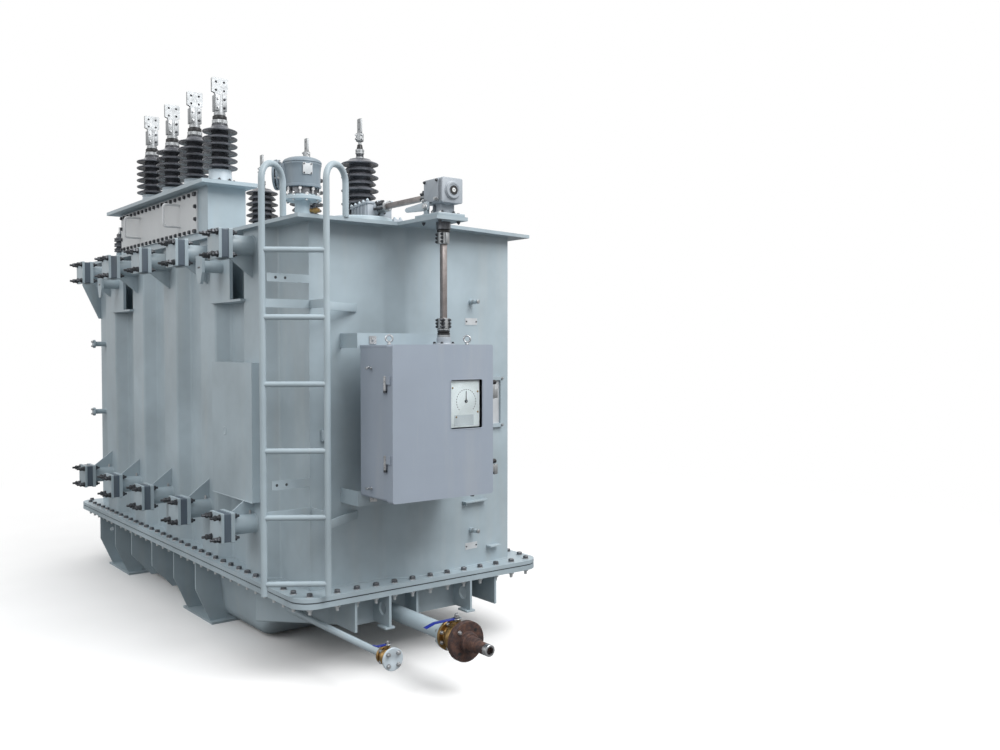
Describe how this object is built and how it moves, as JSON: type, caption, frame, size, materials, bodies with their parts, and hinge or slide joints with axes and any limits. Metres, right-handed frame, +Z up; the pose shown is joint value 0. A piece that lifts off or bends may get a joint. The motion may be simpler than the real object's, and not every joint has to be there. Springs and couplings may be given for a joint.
{
  "type": "power transformer",
  "caption": "Oil-filled power transformer: ribbed bell tank on a trough, high and low voltage bushings, tap changer drive with cabinet, ladder, lifting lugs, closed radiator pipes and drains.",
  "frame": {"origin": "on the ground under the middle of the whole outline, 377 mm from the tank's middle towards the drive cabinet", "axes": "+X along the tank towards the drive cabinet, +Y away from the ladder side, +Z up"},
  "size_m": [4.924, 1.98, 3.59],
  "materials": {
    "tank_paint": "satin light blue-grey paint",
    "hatch_paint": "matte warm grey primer",
    "cabinet_paint": "satin purple-grey powder coat",
    "porcelain": "glossy dark brown glaze",
    "tinned_metal": "tinned, dull silver",
    "valve_iron": "dark slate paint",
    "gasket": "black rubber-bonded cork",
    "shaft_metal": "dull grey-brown steel",
    "brass": "worn brass",
    "rusty_steel": "rust-brown, unpainted",
    "lever_coat": "blue dipped coating",
    "window_glass": "clear pane",
    "dial_white": "off-white plate",
    "zinc": "bright zinc plating"
  },
  "bodies": {
    "tank": {"bell_flange": "tank_paint", "bevel_gearbox": "tank_paint", "blank_flanges": "tank_paint", "cabinet_body": "cabinet_paint", "cabinet_brackets": "tank_paint", "cover_plate": "tank_paint", "door_hinges": "zinc", "drain_flanges": "rusty_steel", "drain_pipes": "tank_paint", "drain_valves": "brass", "end_webs": "tank_paint", "foot_plates": "tank_paint", "front_panel": "tank_paint", "gearbox_bracket": "tank_paint", "hv_bushing_bases": "tank_paint", "hv_porcelains": "porcelain", "hv_terminals": "tinned_metal", "joint_gasket": "gasket", "ladder_plates": "tank_paint", "ladder_rungs": "tank_paint", "ladder_stiles": "tank_paint", "lifting_lugs": "tank_paint", "lv_bushing_bases": "tinned_metal", "lv_porcelains": "porcelain", "lv_terminals": "tinned_metal", "position_dial": "dial_white", "radiator_pipes": "tank_paint", "radiator_valves": "valve_iron", "relief_device": "tank_paint", "relief_neck": "tank_paint", "shaft_collar": "tank_paint", "tank_back_wall": "tank_paint", "tank_far_end_wall": "tank_paint", "tank_front_wall": "tank_paint", "tank_near_end_wall": "tank_paint", "tap_changer_head": "tank_paint", "thermometer_pockets": "zinc", "trough": "tank_paint", "trough_flange": "tank_paint", "trough_ribs": "tank_paint", "turret_deck": "tank_paint", "turret_hatch": "hatch_paint", "turret_walls": "tank_paint"},
    "cabinet_door": {"cabinet_door": "cabinet_paint", "door_window": "window_glass"},
    "upright_drive": {"upright_shaft": "shaft_metal"},
    "cross_drive": {"cross_shaft": "shaft_metal"},
    "small_drain_lever": {"small_drain_lever": "lever_coat"},
    "large_drain_lever": {"large_drain_lever": "lever_coat"}
  },
  "joints": [
    {"name": "cabinet_door_hinge", "type": "hinge", "parent": "tank", "child": "cabinet_door", "pos_m": [2.006, -0.49, 1.406], "axis": [0, 0, -1], "range_deg": [0, 120]},
    {"name": "upright_shaft_turn", "type": "hinge", "parent": "tank", "child": "upright_drive", "pos_m": [1.923, -0.065, 2.16], "axis": [0, 0, 1], "continuous": true},
    {"name": "cross_shaft_turn", "type": "hinge", "parent": "tank", "child": "cross_drive", "pos_m": [1.623, -0.065, 2.633], "axis": [1, 0, 0], "continuous": true},
    {"name": "small_drain_lever_turn", "type": "hinge", "parent": "tank", "child": "small_drain_lever", "pos_m": [2.2195, -0.61, 0.34], "axis": [0, 0, -1], "range_deg": [0, 90]},
    {"name": "large_drain_lever_turn", "type": "hinge", "parent": "tank", "child": "large_drain_lever", "pos_m": [2.173, -0.16, 0.38], "axis": [0, 0, -1], "range_deg": [0, 90]}
  ],
  "couplings": [
    {"joint": "cross_shaft_turn", "follows": "upright_shaft_turn", "ratio": 1}
  ]
}
